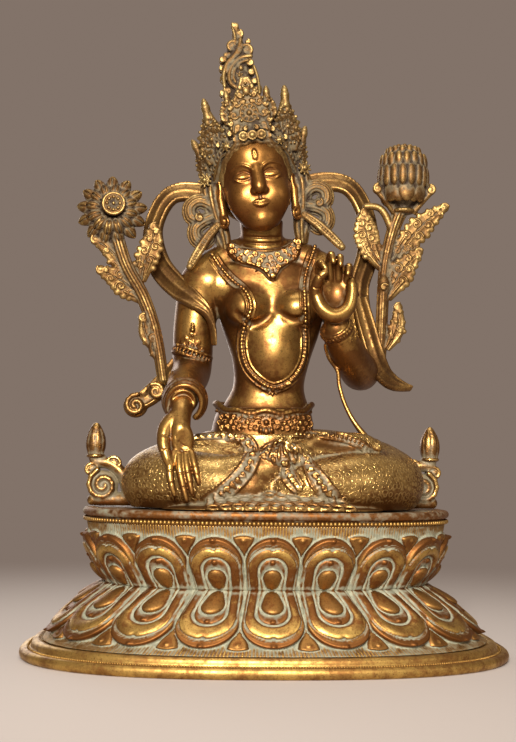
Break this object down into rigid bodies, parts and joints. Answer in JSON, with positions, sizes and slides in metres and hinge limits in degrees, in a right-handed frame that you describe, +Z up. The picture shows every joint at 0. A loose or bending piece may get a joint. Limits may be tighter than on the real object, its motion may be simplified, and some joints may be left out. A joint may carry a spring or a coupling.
{
  "type": "tara figure",
  "caption": "Cast gilt-bronze Tara seated cross-legged on a double lotus base, with an open lotus and a lotus bud at the shoulders.",
  "frame": {"origin": "on the floor, under the middle of the lotus base", "axes": "+Z up, the figure faces -Y, its left hand is on +X"},
  "size_m": [0.24, 0.156, 0.3272],
  "materials": {
    "gilt_bronze": "worn gilding with grey-green patina in the recesses",
    "base_bronze": "browner worn gilding with grey-green patina in the recesses"
  },
  "bodies": {
    "root": {"lotus_base": "base_bronze", "figure": "gilt_bronze", "open_lotus_spray": "gilt_bronze", "lotus_bud_spray": "gilt_bronze"}
  },
  "joints": []
}
